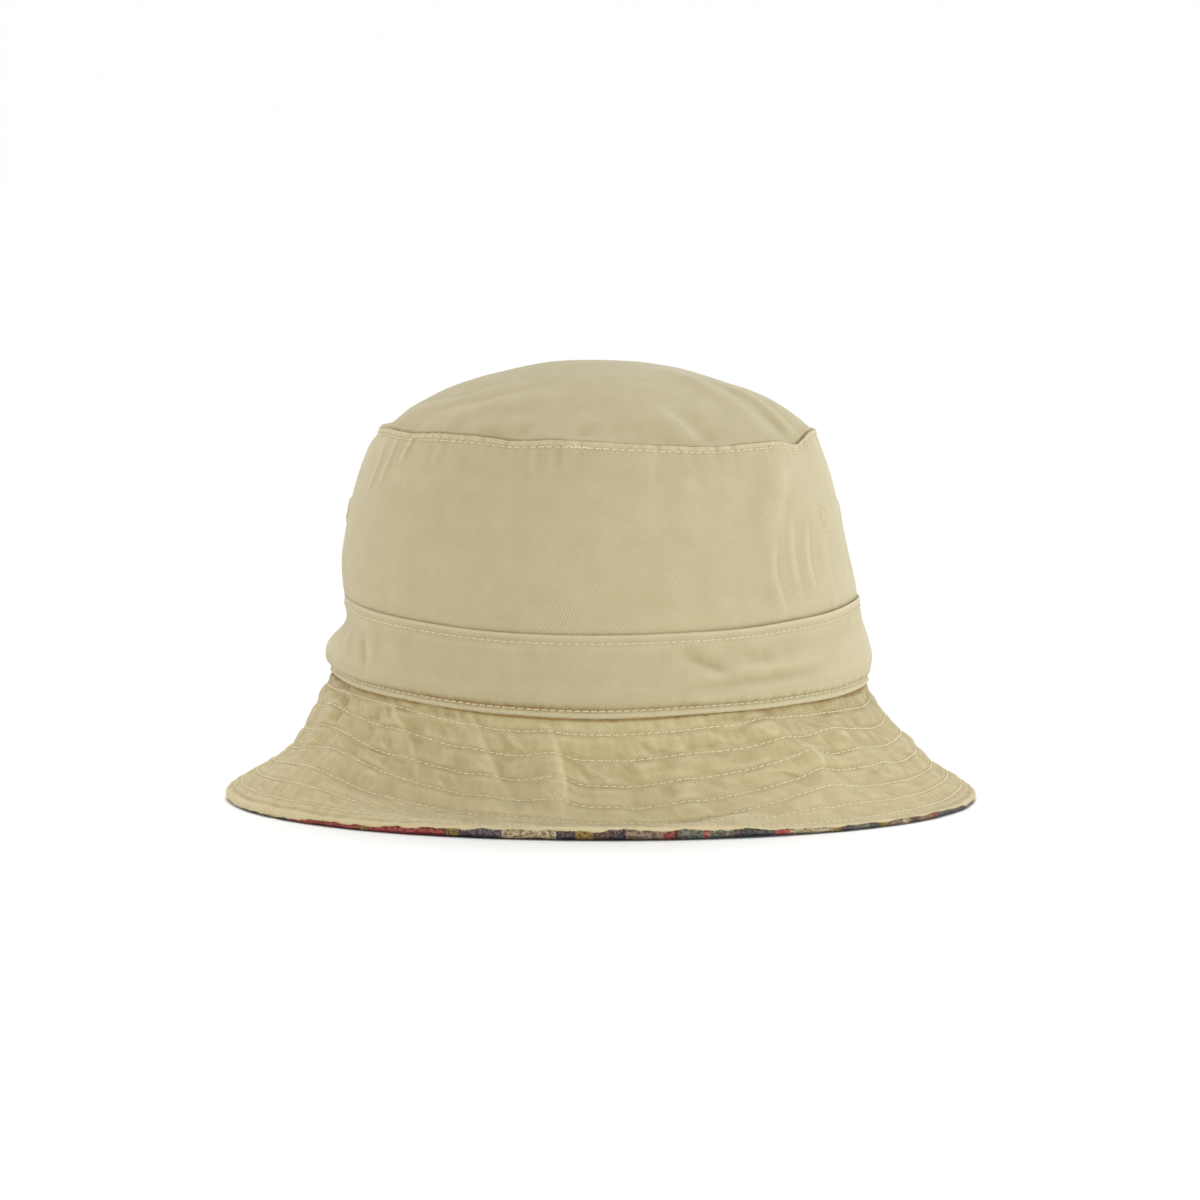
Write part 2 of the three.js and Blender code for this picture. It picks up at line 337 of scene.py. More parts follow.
WALL_FOLDS = [  # path as (mm round from the view, mm down), height, and width to the left and right, in mm
    ([(88, 1), (80, 14), (71, 28), (66, 44)], 1.6, 8.0, 5.5),
    ([(78, 3), (68, 16), (58, 32), (56, 44)], -0.9, 7.5, 7.5),
    ([(58, 2), (54, 10), (53, 20)], 0.5, 5.0, 4.0),
    ([(104, 26), (101, 42), (99, 58)], 0.5, 4.0, 4.0),
    ([(72, 30), (69, 46), (73, 62)], 0.6, 2.8, 1.8),
    ([(84, 20), (80, 38), (81, 58)], 0.5, 2.4, 2.0),
    ([(93, 26), (89, 40), (90, 56)], 0.5, 2.2, 1.7),
    ([(-96, -1), (-95, 8), (-99, 20)], 0.75, 1.8, 1.5),
    ([(-106, -1), (-104, 11), (-108, 24)], 0.75, 2.0, 1.7),
    ([(-84, -1), (-85, 4), (-88, 11)], 0.7, 1.7, 1.4),
    ([(-64, 0), (-66, 7), (-68, 12)], 0.3, 2.4, 2.4),
    ([(-24, 0), (-23, 6), (-25, 12)], 0.35, 3.0, 2.4),
    ([(-12, 0), (-13, 5), (-12, 11)], -0.35, 2.4, 2.4),
    ([(20, 0), (22, 8), (20, 16)], 0.3, 4.0, 3.0),
    ([(36, 0), (38, 9), (36, 20)], 0.35, 4.0, 3.0),
]


def wall_fine(angle, down):
    """The fine puckers of the crown's side, and the welt and groove at its top."""
    view = to_view_angle(angle)
    near_seam = np.exp(-np.maximum(down - 1, 0) / 5)
    puckers = 0.26 * round_noise(angle, down / 30, 82, 4) + 0.14 * round_noise(angle, down / 20, 170, 5)
    streaks = round_noise(angle, down / 50, 76, 6, 0.3) * bell(down - 55, 15)
    shape = puckers * near_seam + 0.22 * streaks * smoothstep(20, 45, view)
    shape = shape + 0.16 * streaks * smoothstep(100, 130, np.abs(view))
    shape = shape + 0.06 * round_noise(angle, down / 12, 50, 7)
    welt = 0.42 * (1 + round_noise(angle, down / 9, 150, 8))
    groove = 0.1 * bell(down - CROWN_TOP_ROW, 0.7)
    return shape + welt * smoothstep(CROWN_TOP_ROW, CROWN_TOP_ROW - 1.1, down) - groove


def wall_layer(angle, down, height):
    """A layer of the crown's side, at a height out from its smooth shape."""
    points = wall_shape(angle, down) + outward(wall_shape, angle, down) * height[..., None]
    points[..., 2] -= seam_sag(to_view_angle(angle)) * np.exp(-down / 16)
    return leaned(points)


def wall(angle, down):
    return wall_layer(angle, down, wall_low(angle, down) + wall_fine(angle, down))


TIP_RADIUS = 81.0  # on average, along the cloth
SEAM_HEIGHT, TOP_HEIGHT = 130.3, 154.7


def tip_shape(angle, share):
    """The smooth dome over the crown, from its middle at share 0 to its seam at share 1."""
    angle, share = np.broadcast_arrays(angle, share)
    seam = SEAM_HEIGHT + 0.9 * np.sin(angle) ** 2
    height = seam + (TOP_HEIGHT - seam) * (1 - np.abs(share) ** 2.35)
    height = height - seam_sag(to_view_angle(angle)) * smoothstep(0.7, 1, share)
    points = np.stack([76.9 * share * np.cos(angle), 83.1 * share * np.sin(angle), height], axis=-1)
    return leaned(points)


TIP_FOLDS = [  # path as (mm right of the middle, mm towards the view), height, and widths as above
    ([(-78, 16), (-58, 33), (-42, 40), (-16, 34)], 2.3, 7.0, 6.0),
    ([(-68, 38), (-48, 50), (-30, 52), (-4, 42)], 1.9, 6.5, 5.5),
    ([(-50, 60), (-34, 67), (-14, 66)], 0.9, 6.0, 6.0),
    ([(20, 10), (40, 26), (58, 40), (70, 50)], 1.7, 5.5, 5.5),
    ([(14, 56), (26, 62), (36, 70), (38, 82)], 1.5, 7.5, 5.0),
    ([(24, 48), (40, 60), (47, 70), (46, 82)], -1.3, 6.0, 7.0),
    ([(40, 8), (62, 22), (82, 32)], 1.4, 3.6, 3.6),
    ([(56, -40), (64, -6), (63, 14), (52, 40)], 1.4, 15.0, 11.0),
    ([(-72, -34), (-77, -8), (-77, 6), (-70, 34)], -1.7, 6.0, 6.0),
    ([(-8, 88), (-5, 78), (2, 68)], -1.0, 5.0, 6.0),
    ([(-32, 82), (-27, 74), (-22, 66)], -0.7, 4.0, 5.0),
]


def tip_height(angle, share):
    """The folds of the tip, in mm, and how it turns down into its seam."""
    right = TIP_RADIUS * share * np.sin(angle - FACING)
    near = TIP_RADIUS * share * np.cos(angle - FACING)
    shape = 0.55 * gradient_noise(right / 46 + 7.3, near / 46, 11, 1000)
    shape = shape + 0.3 * gradient_noise(right / 21 + 9.1, near / 26, 12, 1000)
    shape = shape + 0.1 * gradient_noise(right / 9 + 30, near / 11, 13, 1000)
    shape = shape + folds_height(right, near, TIP_FOLDS)
    edge = np.exp(-(1 - share) * TIP_RADIUS / 6)
    shape = shape * smoothstep(1.0, 0.93, share)
    return shape + 0.25 * edge * round_noise(angle, share * 2, 74, 14) - 0.7 * smoothstep(0.98, 1, share)


def tip(angle, share):
    out = outward(tip_shape, angle, share, 0.004)
    return tip_shape(angle, share) + out * tip_height(angle, share)[..., None]


# ---- Band ----

BAND_WIDTH = 29.0
BAND_TOP_ROW, BAND_BOTTOM_ROW = 2.8, BAND_WIDTH - 2.3
BAND_DEGREE = 1.68  # the length of one degree round the band

band_shape = Oval(
    side=[(0, 92.1, 71.0), (4, 92.0, 67), (8, 92.5, 63), (13, 94.4, 58), (19.5, 96.4, 51.7), (25, 95.9, 46.3),
          (BAND_WIDTH, 94.6, 42.6)],
    front=[(0, 98.3, 66.3), (4, 98.4, 62.4), (8, 98.8, 58.4), (13, 99.6, 53.6), (19.5, 100.8, 47.3),
           (25, 100.8, 42.0), (BAND_WIDTH, 100.2, 38.1)],
    blur=1.6,
)

BAND_FOLDS = [  # path as (mm round from the view, mm down), height, and width to the left and right, in mm
    ([(28, 5), (37, 9), (46, 13), (53, 17)], -1.5, 2.8, 3.6),
    ([(16, 20.5), (40, 19), (66, 17.5), (104, 18)], -1.4, 3.0, 3.0),
    ([(54, 8), (62, 10), (70, 11)], -0.55, 3.4, 3.4),
    ([(34, 15.5), (54, 14), (84, 13)], 0.5, 3.6, 3.6),
    ([(-107, 6), (-103, 12), (-98, 18), (-94, 23)], -1.0, 3.4, 2.8),
    ([(-205, 11), (-172, 9), (-150, 9), (-132, 9), (-106, 8)], -3.1, 6.5, 6.5),
    ([(-122, 8), (-116, 14), (-112, 21)], 0.5, 3.0, 3.0),
    ([(-98, 4), (-95, 12), (-92, 20)], 0.5, 3.5, 3.0),
    ([(-84, 6), (-80, 13), (-76, 20)], 0.35, 4.0, 4.0),
    ([(-34, 9), (-14, 14), (2, 20)], -0.35, 5.0, 5.0),
]

# how far the band swells at its middle and is drawn in at its top, and how far its edges are raised, in mm
band_swell = Around([
    (-180, 0), (-120, 0.4), (-90, 0.9), (-60, 0.2), (0, 0), (60, 0), (90, -0.3), (130, 0.2)
],
                    blur=10)
band_pinch = Around([
    (-180, 0), (-115, 1.2), (-90, 2.0), (-70, 1.2), (-45, 0), (60, 0), (90, 0.1), (120, 0)
],
                    blur=8)
band_top_lift = Around([
    (-180, 0), (-110, 0.8), (-83, 0.9), (-47, -0.5), (-20, -1.0), (0, -0.4), (30, -0.3), (60, 0.2),
    (86, 1.1), (120, 0.4)
])
band_low_lift = Around([
    (-180, 0), (-110, 1.6), (-82, 2.6), (-65, 1.6), (-45, 0.7), (-19, -0.2), (1, -0.3), (28, 0.6),
    (59, -0.3), (82, -0.6), (120, 0)
])


def band_height(angle, down):
    """How far the band stands out: its folds and swell, its sewn edges and the lip at its foot."""
    view = to_view_angle(angle)
    inside = smoothstep(1.2, 5.5, down) * smoothstep(BAND_WIDTH - 1.2, BAND_WIDTH - 5.5, down)
    shape = 0.5 * round_noise(angle, down / 26, 12, 21) + 0.25 * round_noise(angle, down / 17, 34, 22)
    shape = shape + 0.08 * round_noise(angle, down / 9, 80, 23)
    shape = (shape + folds_height(view * BAND_DEGREE, down, BAND_FOLDS)) * inside
    pinch = 0.26 * round_noise(angle, down / 30, 210, 24) * bell(down - BAND_BOTTOM_ROW, 2.6)
    shape = shape + pinch * (0.55 + 0.7 * smoothstep(25, 60, np.abs(view)))
    shape = shape - 0.1 * bell(down - BAND_TOP_ROW, 0.8) - 0.45 * bell(down - BAND_BOTTOM_ROW, 0.9)
    shape = shape - 0.3 * bell(down - BAND_BOTTOM_ROW + 1, 3.2)
    lip = 0.6 + 0.5 * round_noise(angle, 0.0, 270, 27) * (0.35 + 0.65 * bell(view + 45, 45))
    return shape + lip * bell(down - BAND_WIDTH + 0.8, 0.9) + 0.35 * inside + band_swell(view) * inside


def band(angle, down):
    out = outward(band_shape, angle, down)
    view = to_view_angle(angle)
    height = band_height(angle, down) - band_pinch(view) * bell(down, 9.0)
    points = band_shape(angle, down) + out * height[..., None]
    lowness = down / BAND_WIDTH
    points[..., 2] += 0.35 * round_noise(angle, 0.0, 14, 25)
    points[..., 2] += band_top_lift(view) * (1 - lowness) + band_low_lift(view) * lowness
    return points


# ---- Brim ----

ROWS = 7
HEM = 7.75  # in row spacings
ROW_SPACING = 8.4  # on average
BRIM_DEGREE = 1.85  # the length of one degree round the brim
BRIM_THICKNESS = 2.5

brim_shape = Oval(
    side=[(-0.2, 91.8, 48.6), (0, 92.4, 47), (1, 95.7, 39.8), (2, 100.2, 32.6), (3, 105.4, 24.8),
          (4, 110.7, 18.9), (5, 116.8, 13.6), (6, 123, 9.6), (7, 128.2, 6.4), (HEM, 132.2, 3.7)],
    front=[(-0.2, 99.0, 43.0), (0, 99.3, 41), (1, 101.4, 32.1), (2, 103.2, 23.5), (3, 106.3, 15.3),
           (4, 111.7, 8.3), (5, 119.2, 3.9), (6, 127.6, 2.9), (7, 135.2, 3.6), (HEM, 140.4, 4.7)],
    blur=0.28,
    power=2,
)


def brim_spacing(angle):
    return 8.0 + 0.8 * np.sin(angle) ** 2


BRIM_FOLDS = [  # path as (degrees from the view, rows down), widths in mm, height, and lift of the rows
    ([(-12, 0.3), (-9.4, 1.5), (-7.9, 2.6), (-7.0, 3.6), (-7.4, 5.0)], 9.0, 3.0, 2.3, 1.8),
    ([(-31, 0.2), (-26, 1.2), (-22.5, 2.2), (-19.5, 3.2), (-15, 4.6)], 8.0, 3.2, 2.0, 0.4),
    ([(-53, 0.2), (-44, 1.7), (-38, 3.0), (-35, 4.4)], 7.0, 3.2, 1.6, 0.3),
    ([(30, 0.4), (36, 1.2), (40.5, 2.2), (43, 3.2), (42, 4.4), (37, 5.2)], 10.0, 4.0, 1.9, 1.3),
    ([(14, 1.2), (17, 2.5), (15, 3.8), (19, 5.0)], 8.0, 5.0, 1.0, 0.3),
    ([(52, 1.3), (56, 2.6), (62, 4.0), (60, 5.2)], 7.0, 4.0, 1.1, 0.6),
    ([(-74, 0.0), (-70, 2.0), (-69, 4.0), (-66, 6.4)], 9.0, 9.0, 2.0, 1.2),
    ([(118, 0.6), (126, 2.4), (124, 4.6)], 9.0, 4.5, 1.6, 0.8),
    ([(165, 0.4), (158, 2.0), (162, 4.4)], 9.0, 4.5, 1.5, 0.8),
    ([(-150, 0.6), (-143, 2.2), (-139, 4.6)], 9.0, 4.5, 1.6, 0.9),
    ([(-108, 0.8), (-104, 2.6), (-109, 5.0)], 8.0, 4.0, 1.3, 0.6),
]

# how far the brim is lifted about its rows 1 and 2, 4 and 7, and then single rows further, in mm
upper_lift = Around([
    (-180, 0), (-110, 0.5), (-70, 0.6), (-50, 0.4), (-25, -1.7), (-8, 0), (0, 0), (20, 1.0), (40, -0.6),
    (54, -2.6), (72, -4.8), (90, -3.0), (115, -0.5), (140, 0)
])
middle_lift = Around([
    (-180, 0), (-95, -1.2), (-72, 2.6), (-58, 2.4), (-45, 0.2), (-32, -1.0), (-22, -1.8), (-8, 0), (0, 0),
    (20, 0.4), (35, 2.0), (43, 3.2), (50, 0.4), (57, -0.8), (68, -1.6), (90, -0.6), (120, 0)
], blur=3)
lower_lift = Around([
    (-180, 0), (-60, 0), (-37, -0.7), (-20, 0), (20, 0), (36, -2.6), (60, -2.6), (82, -1.4), (105, 0)
])
ROW_LIFTS = {
    2: [(-85, 0.1), (-66, 1.7), (-53, 0.4), (-40, 0), (44, 0), (50, 2.6), (58, 1.6), (65, 0.5), (80, 0)],
    3: [(-90, 0), (-70, -0.8), (-65, 1.6), (-60, 2.4), (-54, 0.8), (-47, -0.6), (-35, -0.3), (0, -0.2),
        (40, 0)],
    4: [(-90, -0.5), (-68, -2.6), (-62, 1.2), (-56, 2.2), (-45, 0.7), (-30, 0), (43, -0.4), (50, 0.5),
        (55, 0.8), (70, 0)],
    5: [(-90, 0), (-67, -1.6), (-61, 0.5), (-55, -0.2), (-46, -0.9), (-35, -0.5), (-20, -0.6), (0, -0.3),
        (10, -0.9), (17, -1.3), (27, -0.4), (36, 0.8), (41, 1.2), (48, 0.3), (60, 0)],
    6: [(-90, 0), (-68, 0.4), (-59, 1.4), (-48, 0.7), (-42, 0), (-37, -1.1), (-19, -1.1), (-8, 0), (30, 1.0),
        (38, 2.1), (47, 0.9), (60, 0)],
}
row_lifts = {row: Around(points, blur=2.5) for row, points in ROW_LIFTS.items()}


def brim_lift(view, row):
    """How far a point of the brim is raised, in mm."""
    upper = smoothstep(-0.6, 1.0, row) * smoothstep(3.4, 1.8, row)
    middle = smoothstep(1.8, 3.6, row) * smoothstep(6.4, 4.8, row)
    lower = smoothstep(4.8, 6.8, row)
    lift = upper * upper_lift(view) + middle * middle_lift(view) + lower * lower_lift(view)
    for which, extra in row_lifts.items():
        lift = lift + smoothstep(1, 0, np.abs(row - which)) * extra(view)
    return lift


def brim_folds(angle, row):
    """The height of the brim's larger folds, and how far they lift its rows of stitching."""
    view = to_view_angle(angle)
    height = np.zeros(np.broadcast(angle, row).shape)
    lift = np.zeros_like(height)
    place = view * BRIM_DEGREE, row * ROW_SPACING
    for path, left, right, tall, lifted in BRIM_FOLDS:
        scaled = [(degrees * BRIM_DEGREE, rows * ROW_SPACING) for degrees, rows in path]
        height += tall * fold(*place, scaled, left, right)
        lift += lifted * fold(*place, scaled, left * 0.8, right * 1.7)
    return height, lift


def brim_low(angle, row):
    """The shape that all of the brim's layers share, with its outward direction."""
    view = to_view_angle(angle)
    height, lift = brim_folds(angle, row)
    wander = 0.35 * round_noise(angle, row / 3, 15, 31) + 0.2 * round_noise(angle, row / 2, 38, 32)
    wander = wander + 0.14 * round_noise(angle, row * 0.7, 84, 30)
    held = smoothstep(0.1, 1.2, row)
    shifted = row - (lift + wander) * held / brim_spacing(angle)
    out = outward(brim_shape, angle, shifted)
    slack = held * smoothstep(HEM + 0.6, HEM - 1.5, row)
    broad = 0.8 * round_noise(angle, row / 4, 17, 33) + 0.55 * round_noise(angle, row / 3.2, 44, 34, 0.5)
    height = height * smoothstep(0.2, 1.0, row) + broad * slack
    points = brim_shape(angle, shifted) + out * height[..., None]
    points[..., 2] += brim_lift(view, row)
    lean = 1.8 * np.sin(angle - FACING) * bell(row - 3.8, 1.8)
    lean = lean - 1.5 * bell(view + 90, 40) * smoothstep(4.6, 6.6, row)
    points[..., 0] += lean * np.cos(angle)
    points[..., 1] += lean * np.sin(angle)
    return points, out


def nearest_row(angle, row):
    """How far the nearest row of stitching is, in mm, and whether there is one."""
    return np.abs((row + 0.5) % 1 - 0.5) * brim_spacing(angle), (row > 0.5) & (row < ROWS + 0.5)


def brim_fine(angle, row):
    """The puckers between the rows of stitching, and the grooves along them."""
    view = to_view_angle(angle)
    lean = 0.3
    puckers = 0.30 * round_noise(angle, row * 0.9 + 0.3, 58, 35, lean)
    puckers = puckers + 0.20 * round_noise(angle, row * 1.2, 104, 36, lean)
    puckers = puckers + 0.07 * round_noise(angle, row * 1.4, 230, 37, lean)
    creases = 0.7 * smoothstep(0.15, 0.8, round_noise(angle, row * 1.1 + 0.45, 76, 39, lean))
    creases = creases * (1 - 0.55 * bell(view - 55, 28))
    leftness = smoothstep(-5, -45, view) * smoothstep(5.5, 2.5, row)
    upright = 0.5 * round_noise(angle, row * 0.45, 64, 44, 0.12) * (1 + 0.8 * leftness)
    upright = upright * smoothstep(0.2, 1.0, row) * smoothstep(HEM, HEM - 2, row)
    ribs = 0.13 * round_noise(angle, row * 0.3, 250, 38) * smoothstep(5.6, 7.2, row)
    away, sewn = nearest_row(angle, row)
    groove = 0.06 * bell(away, 0.8) * sewn
    quilted = 0.26 * smoothstep(0, 3.0, away) * sewn
    calm = 0.35 + 0.65 * smoothstep(0.1, 2.4, away)
    gathered = 1 + 0.5 * smoothstep(3.6, 1.2, row)
    return (1.15 * puckers - 0.42 * creases + 1.05 * upright) * gathered * calm + ribs - groove + quilted


# how far the band presses the top of the brim in below its lower edge, in mm
band_press = Around([
    (-180, 0.2), (-165, 0.3), (-155, 0.1), (-145, 0.4), (-135, 1.0), (-125, 1.3), (-115, 0.9), (-104, 0),
    (-80, 0), (-65, 0.5), (-45, 0.8), (-35, 0.4), (-22, 0.1), (-10, 0), (20, 0), (30, 0.4), (36, 0.7),
    (46, 0.4), (58, 0), (95, 0), (104, 0.7), (115, 1.0), (135, 1.2), (150, 1.4), (158, 1.3), (166, 0.5),
    (176, 0.2)
], blur=3)


def brim_top(angle, row):
    """The khaki top of the brim, which flattens out softly where it nears the floor."""
    points, out = brim_low(angle, row)
    pressed = band_press(to_view_angle(angle)) * smoothstep(1.15, 0.55, row)
    points = points + out * (brim_fine(angle, row) - pressed)[..., None]
    spare = points[..., 2] - BRIM_THICKNESS
    softened = 0.6 * np.log1p(np.exp(np.minimum(spare, 20) / 0.6))
    points[..., 2] = BRIM_THICKNESS + np.where(spare > 3, spare, softened)
    return points


FOOT = 0.08  # the least height of the underside above the floor
hem_lift = Around([
    (-180, 0), (-100, 0), (-70, 0), (-35, 0.25), (0, 0.5), (30, 0.3), (60, 0.1), (88, 0), (115, 0)
],
                  blur=8)


def hem_foot(angle):
    """The height of the underside of the hem above the floor."""
    waves = 0.4 * np.maximum(0, round_noise(angle, 0.3, 17, 41) + 0.1)
    waves = waves + 0.4 * np.maximum(0, round_noise(angle, 0.4, 110, 43))
    return FOOT + waves + hem_lift(to_view_angle(angle))


def brim_under(angle, row):
    """The plaid underside of the brim, quilted too, which rests on the floor near its edge."""
    points, out = brim_low(angle, row)
    away, sewn = nearest_row(angle, row)
    fine = 0.22 * round_noise(angle, row * 0.8, 118, 35, 0.55) - 0.28 * bell(away, 0.9) * sewn
    points = points - out * (BRIM_THICKNESS - 0.15 + fine)[..., None]
    floor = FOOT + (hem_foot(angle) - FOOT) * smoothstep(HEM - 1.2, HEM - 0.2, row)
    points[..., 2] = np.maximum(points[..., 2], floor)
    return points


def hem_section(angle, turn, depth):
    """The rolled edge of a depth: turn runs from a quarter turn at its top to minus one underneath."""
    top = brim_top(angle, HEM)
    foot = hem_foot(angle)
    across = unit(np.stack([top[..., 0], top[..., 1], 0 * foot], axis=-1))
    half = (top[..., 2] - foot) / 2
    points = top + across * (depth * np.cos(turn))[..., None]
    points[..., 2] = foot + half * (1 + np.sin(turn))
    return points


plaid_share = Around([
    (-180, 0.8), (-110, 0.3), (-75, 0), (-48, 0.5), (-25, 0.95), (30, 1), (68, 1), (80, 0.45), (94, 0),
    (110, 0), (140, 0.8)
], blur=4)


def hem_split(angle):
    """Where round the roll the khaki ends and the plaid begins. More plaid shows at the front."""
    shown = plaid_share(to_view_angle(angle))
    ragged = 22 * round_noise(angle, 0.4, 120, 42) + 9 * round_noise(angle, 0.0, 330, 45)
    return np.radians(-60 + 88 * shown + ragged)


# ---- Meshes ----


def new_piece(mesh, slot, material, *nodes):
    """Makes a mesh a piece of the hat, which stands for the CAD nodes named."""
    piece = bpy.data.objects.new(mesh.name, mesh)
    bpy.context.scene.collection.objects.link(piece)
    mesh.materials.append(material)
    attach(piece, "root")
    if nodes:
        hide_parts(*nodes)


def flat_place(across, down):
    """Where each point lies on the flat cloth, in mm, for its weave."""
    return np.stack(np.broadcast_arrays(across, down), axis=-1)


def full_turn(count):
    """Angles once round the hat, without the one that closes the circle and with it."""
    turns = np.linspace(0, TURN, count + 1)[None, :]
    return turns[:, :-1], turns


def grid_mesh(name, points, cloth_uv, tone, closed):
    """A smooth mesh over a grid of points. The columns run round the hat, and the rows run down it.

    A closed grid joins its last column to its first, and cloth_uv has a column more then."""
    rows, columns = points.shape[:2]
    across = columns if closed else columns - 1
    i, j = np.meshgrid(np.arange(rows - 1), np.arange(across), indexing="ij")
    i, j = i.ravel(), j.ravel()
    corners = [(i, j), (i + 1, j), (i + 1, j + 1), (i, j + 1)]
    loops = np.stack([a * columns + b % columns for a, b in corners], axis=1)
    mesh = bpy.data.meshes.new(name)
    mesh.vertices.add(rows * columns)
    mesh.vertices.foreach_set("co", (points * MM).astype(np.float32).ravel())
    mesh.loops.add(loops.size)
    mesh.loops.foreach_set("vertex_index", loops.astype(np.int32).ravel())
    mesh.polygons.add(len(loops))
    mesh.polygons.foreach_set("loop_start", np.arange(0, loops.size, 4, dtype=np.int32))
    mesh.update(calc_edges=True)
    mesh.polygons.foreach_set("use_smooth", np.ones(len(loops), bool))
    layer = mesh.uv_layers.new(name="cloth")
    uv = np.stack([cloth_uv[a, b] for a, b in corners], axis=1)
    layer.data.foreach_set("uv", uv.astype(np.float32).ravel())
    mesh.attributes.new("tone", "FLOAT", "POINT").data.foreach_set("value", tone.astype(np.float32).ravel())
    mesh.validate()
    return mesh


FULL_RELIEF = 0.12  # the height of a ridge that is worn as pale as can be, and the depth of a groove whose painted shade is darkest


def relief(points, closed):
    """How far each point stands out from its neighbours: positive on ridges and negative in grooves."""
    near = []
    for axis, mode in ((0, "clip"), (1, "wrap" if closed else "clip")):
        index = np.arange(points.shape[axis])
        near += [np.take(points, index + step, axis, mode=mode) for step in (-3, -2, -1, 1, 2, 3)]
    out = unit(np.cross(np.gradient(points, axis=0), np.gradient(points, axis=1)))
    # As tone this makes the ridges worn pale and paints shade into the grooves.
    return np.clip(((points - sum(near) / len(near)) * out).sum(-1) / FULL_RELIEF, -1, 1)


def paint_crease_shade(tone, gap, reach, depth=2.2):
    """Darkens the tone beside a crease: painted shade of the narrow gap there."""
    return tone - depth * np.exp(-np.maximum(gap, 0) / reach)


def seam_roll(angle, start, end):
    """How far the two ends of a panel turn in at its side seams, in mm, to multiply a direction."""
    gap = np.minimum(angle - start, end - angle) * 100
    return 0.9 * np.exp(-gap / 0.8)[..., None]


HALVES = {"front": (-math.pi, 0.0), "back": (0.0, math.pi)}


def panel_angles(half, count):
    """Angles round one half of the hat, with the two where its side seams are."""
    start, end = HALVES[half]
    return np.linspace(start, end, count)[None, :], start, end


def make_walls(material):
    for half in HALVES:
        angle, start, end = panel_angles(half, 470)
        down = np.concatenate([np.linspace(0, 8, 26), np.linspace(8.5, 66, 92)])[:, None]
        points = wall(angle, down)
        out = outward(wall_shape, angle, down)
        points -= out * seam_roll(angle, start, end)
        tucked = [points[0] - out[0] * depth + np.array([0, 0, rise])
                  for depth, rise in ((1.7, -1.6), (1.2, -0.2), (0.7, 0.2), (0.25, 0.2))]
        points = np.concatenate([np.stack(tucked), points])
        run = np.concatenate([[-2.4, -1.4, -0.8, -0.3], down[:, 0]])[:, None]
        # The tone: painted shade in the gap just above the band and in the grooves, worn pale ridges, and
        # painted light on the sides.
        above_band = points[..., 2] - band(angle, 0.0)[..., 2] - 0.5
        tone = paint_crease_shade(relief(points, False), above_band, 0.55, 1.3) + painted_side_light(angle)
        mesh = grid_mesh(f"crown_side_{half}_cloth", points, flat_place(angle * 90, -run), tone, False)
        new_piece(mesh, "khaki_twill", material, f"crown_side_{half}")


def make_tip(material):
    angle, turns = full_turn(720)
    share = np.concatenate([[0.002], np.linspace(0.02, 0.9, 92), np.linspace(0.905, 1, 26)])[:, None]
    points = tip(angle, share)
    reach = TIP_RADIUS * share
    # The tone: painted shade next to the seam and in the grooves, and worn pale ridges.
    tone = paint_crease_shade(relief(points, True), TIP_RADIUS - reach - 0.7, 0.7, 1.5)
    flat = flat_place(reach * np.cos(turns), reach * np.sin(turns))
    mesh = grid_mesh("crown_tip_cloth", points, flat, tone, True)
    close_middle(mesh)
    new_piece(mesh, "khaki_twill", material, "crown_tip")


def close_middle(mesh):
    """Merges the tiny first ring of a dome into one point."""
    edit = bmesh.new()
    edit.from_mesh(mesh)
    edit.verts.ensure_lookup_table()
    ring = [v for v in edit.verts if math.hypot(v.co.x, v.co.y) < 0.0006]
    bmesh.ops.pointmerge(edit, verts=ring, merge_co=sum((v.co for v in ring), Vector()) / len(ring))
    edit.to_mesh(mesh)
    edit.free()


def make_band(material):
    angle, turns = full_turn(960)
    down = np.linspace(0, BAND_WIDTH, 60)[:, None]
    points = band(angle, down)
    out = outward(band_shape, angle, down)
    rise = np.array([0, 0, 1.0])
    turned_in = ((0.35, 0.4, 0.4), (0.8, 0.3, 0.9), (1.1, -0.3, 1.5), (1.1, -3, 4))  # depth, rise and run
    above = [points[0] - out[0] * depth + rise * up for depth, up, _ in turned_in[::-1]]
    below = [points[-1] - out[-1] * depth - rise * up for depth, up, _ in turned_in]
    points = np.concatenate([np.stack(above), points, np.stack(below)])
    runs = np.array([run for _, _, run in turned_in])
    run = np.concatenate([-runs[::-1], down[:, 0], BAND_WIDTH + runs])[:, None]
    # Painted shade in the dip just above the bottom row of stitching; the sides get painted light.
    painted_stitch_shade = bell(run - BAND_BOTTOM_ROW + 1.1, 1.25) * (0.8 + 0.3 * round_noise(angle, 0.0, 130, 26))
    painted_stitch_shade = painted_stitch_shade * (0.6 + 0.5 * bell(to_view_angle(angle) + 25, 30))
    tone = relief(points, True) - 2.2 * painted_stitch_shade + painted_side_light(angle)
    mesh = grid_mesh("hat_band_cloth", points, flat_place(turns * 96 + 13, -run), tone, True)
    new_piece(mesh, "khaki_twill", material, "hat_band")


def painted_side_light(angle):
    """How much paler the crown and band are painted at their sides as the camera sees them: painted light."""
    return 0.4 * smoothstep(35, 75, np.abs(to_view_angle(angle)))


def brim_pattern(angle, row, middle):
    """Where a point of the brim lies on its flat pattern, which is part of a wide ring."""
    radius = 150 + row * ROW_SPACING
    turned = 0.64 * (angle - middle)
    return flat_place(radius * np.sin(turned), -radius * np.cos(turned))


def brim_painted_light(angle, row):
    """How much paler or darker the brim is painted: painted light at the front of its outer rows, and painted
    shade at its sides and back, most on its right.
    """
    view = to_view_angle(angle)
    sides = 0.6 * (1 - bell(view, 62)) + 0.4 * smoothstep(35, 75, view)
    return 0.55 * bell(view, 42) * smoothstep(2, 5, row) - sides


